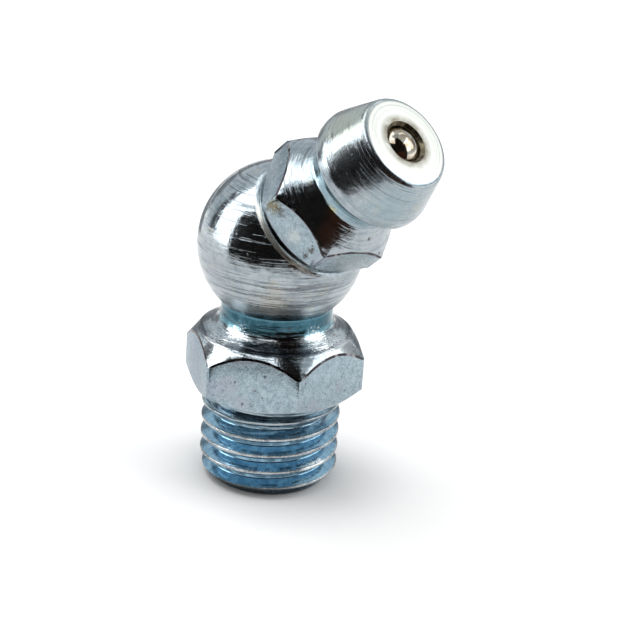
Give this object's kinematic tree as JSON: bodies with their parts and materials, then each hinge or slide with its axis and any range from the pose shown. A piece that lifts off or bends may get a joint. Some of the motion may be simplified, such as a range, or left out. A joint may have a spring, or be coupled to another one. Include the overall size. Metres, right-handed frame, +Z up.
{
  "type": "angled grease nipple",
  "caption": "Angled cone-head grease nipple: threaded shank, hexagon, neck and ball, and a hexagon cone head pressed into the ball with a sprung check ball in its mouth.",
  "frame": {"origin": "centre of the body hexagon's seating face, on the shank's axis", "axes": "+Z up the shank's axis from the shank's end to the ball; the head leans towards +X, so XZ is the plane of the elbow"},
  "size_m": [0.0145, 0.0104, 0.0234],
  "materials": {
    "plated_body": "bright zinc plate with a blue passivated tint",
    "plated_head": "bright zinc plate with a blue passivated tint",
    "ball": "polished bearing steel",
    "spring": "bright spring wire"
  },
  "bodies": {
    "fitting": {"elbow_body": "plated_body", "nipple_head": "plated_head", "check_spring": "spring"},
    "check_ball": {"check_ball": "ball"}
  },
  "joints": [
    {"name": "check_ball_slide", "type": "slide", "parent": "fitting", "child": "check_ball", "axis": [-0.7314, 0, -0.682], "range_m": [0, 0.0006], "stiffness_N_per_m": 1800, "springref_m": -0.0015, "deforming": ["check_spring"]}
  ]
}
